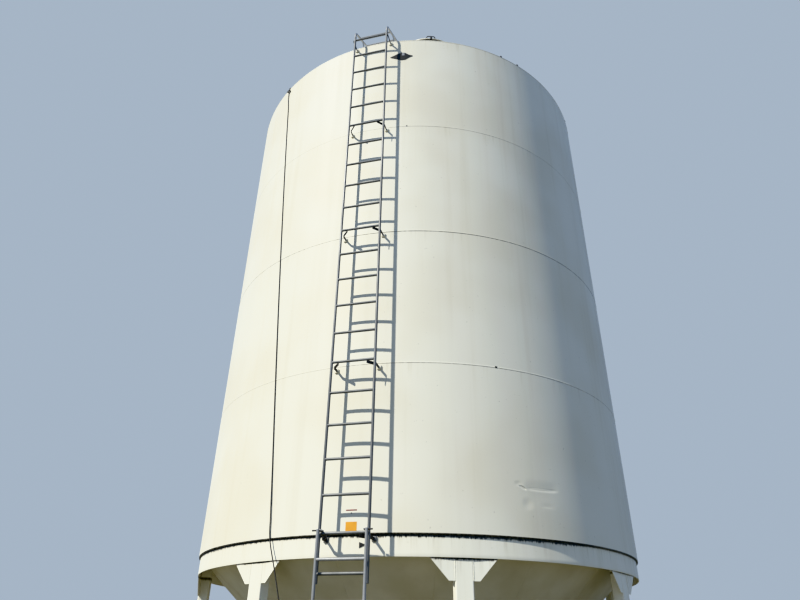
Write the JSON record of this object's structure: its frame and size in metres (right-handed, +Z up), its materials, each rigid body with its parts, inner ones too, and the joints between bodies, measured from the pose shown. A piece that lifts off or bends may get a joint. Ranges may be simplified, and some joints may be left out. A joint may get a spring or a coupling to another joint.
{
  "type": "hopper bottom grain bin",
  "caption": "Round steel grain bin with a cone hopper on legs, a cone roof, a fill lid, a manhole, a side ladder and a lid rope.",
  "frame": {"origin": "on the ground in the middle of the whole footprint; the bin's upright axis is 99 mm behind it, because the ladder stands out in front", "axes": "+Z up, -Y to the side with the ladder, +X to the right of someone who faces the ladder"},
  "size_m": [4.8768, 5.0742, 10.0132],
  "materials": {
    "wall_paint": "satin cream white, slightly dusty",
    "band_paint": "satin cream white with dark runs",
    "hopper_paint": "satin cream, dusty",
    "leg_paint": "satin cream white",
    "roof_paint": "satin cream white, weathered",
    "galvanised": "dull hot dip galvanised",
    "strap_steel": "dark weathered steel",
    "dark_plate": "matt black",
    "rope_fibre": "dark weathered laid rope"
  },
  "bodies": {
    "root": {"wall_ring_1": "wall_paint", "wall_ring_2": "wall_paint", "wall_ring_3": "wall_paint", "wall_ring_4": "wall_paint", "hopper_rim": "hopper_paint", "hopper_band": "band_paint", "hopper_cone": "hopper_paint", "outlet_neck": "hopper_paint", "slide_gate_frame": "galvanised", "slide_gate_plate": "galvanised", "leg_1": "leg_paint", "leg_2": "leg_paint", "leg_3": "leg_paint", "leg_4": "leg_paint", "leg_5": "leg_paint", "leg_6": "leg_paint", "leg_7": "leg_paint", "leg_8": "leg_paint", "roof_cone": "roof_paint", "fill_collar": "roof_paint", "fill_lid": "roof_paint", "lid_lever": "galvanised", "manhole_collar": "roof_paint", "manhole_lid": "roof_paint", "ladder_section_1": "galvanised", "ladder_section_2": "galvanised", "ladder_section_3": "galvanised", "ladder_section_4": "galvanised", "roof_ladder": "galvanised", "lower_ladder": "galvanised", "ladder_strap_right_1": "strap_steel", "ladder_strap_left_1": "strap_steel", "ladder_strap_right_2": "strap_steel", "ladder_strap_left_2": "strap_steel", "ladder_strap_right_3": "strap_steel", "ladder_strap_left_3": "strap_steel", "ladder_strap_right_4": "strap_steel", "ladder_strap_left_4": "strap_steel", "ladder_strap_right_5": "strap_steel", "ladder_strap_left_5": "strap_steel", "eave_plate": "dark_plate", "rope_guide": "galvanised", "rope_cleat": "galvanised", "lid_rope_roof": "rope_fibre", "lid_rope_eave": "rope_fibre", "lid_rope_fall": "rope_fibre"}
  },
  "joints": []
}
